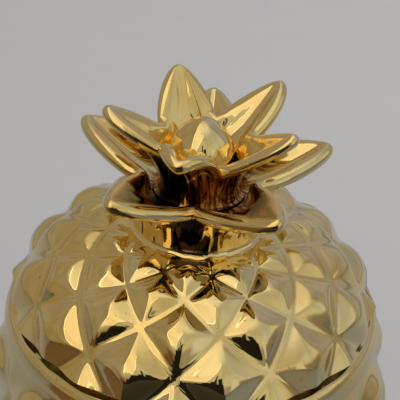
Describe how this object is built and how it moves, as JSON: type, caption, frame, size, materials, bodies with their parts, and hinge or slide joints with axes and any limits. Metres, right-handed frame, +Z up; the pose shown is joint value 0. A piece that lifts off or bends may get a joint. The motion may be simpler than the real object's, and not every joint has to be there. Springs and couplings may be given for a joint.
{
  "type": "lidded pineapple jar",
  "caption": "Lidded ceramic jar shaped like a pineapple, with raised diamonds, a plain rim band and a leafy crown as the lid's handle.",
  "frame": {"origin": "centre of the foot ring's underside, where the jar stands", "axes": "+Z up along the axis of the egg; -Y faces a column of valley corners, seen a little left of the picture's camera"},
  "size_m": [0.1274, 0.1274, 0.1806],
  "materials": {
    "gold_plated_glaze": "mirror-bright pale gold plating over a smooth glaze",
    "clear_silicone": "translucent matt silicone"
  },
  "bodies": {
    "jar": {"jar_body": "gold_plated_glaze"},
    "seal": {"lid_seal": "clear_silicone"},
    "lid": {"lid_dome": "gold_plated_glaze", "crown_outer_whorl": "gold_plated_glaze", "crown_inner_whorl": "gold_plated_glaze", "crown_bud": "gold_plated_glaze"}
  },
  "joints": [
    {"name": "lid_lift", "type": "slide", "parent": "jar", "child": "seal", "axis": [0, 0, 1], "range_m": [0, 0.09]},
    {"name": "lid_turn", "type": "hinge", "parent": "seal", "child": "lid", "pos_m": [0, 0, 0.113], "axis": [0, 0, 1], "continuous": true}
  ]
}
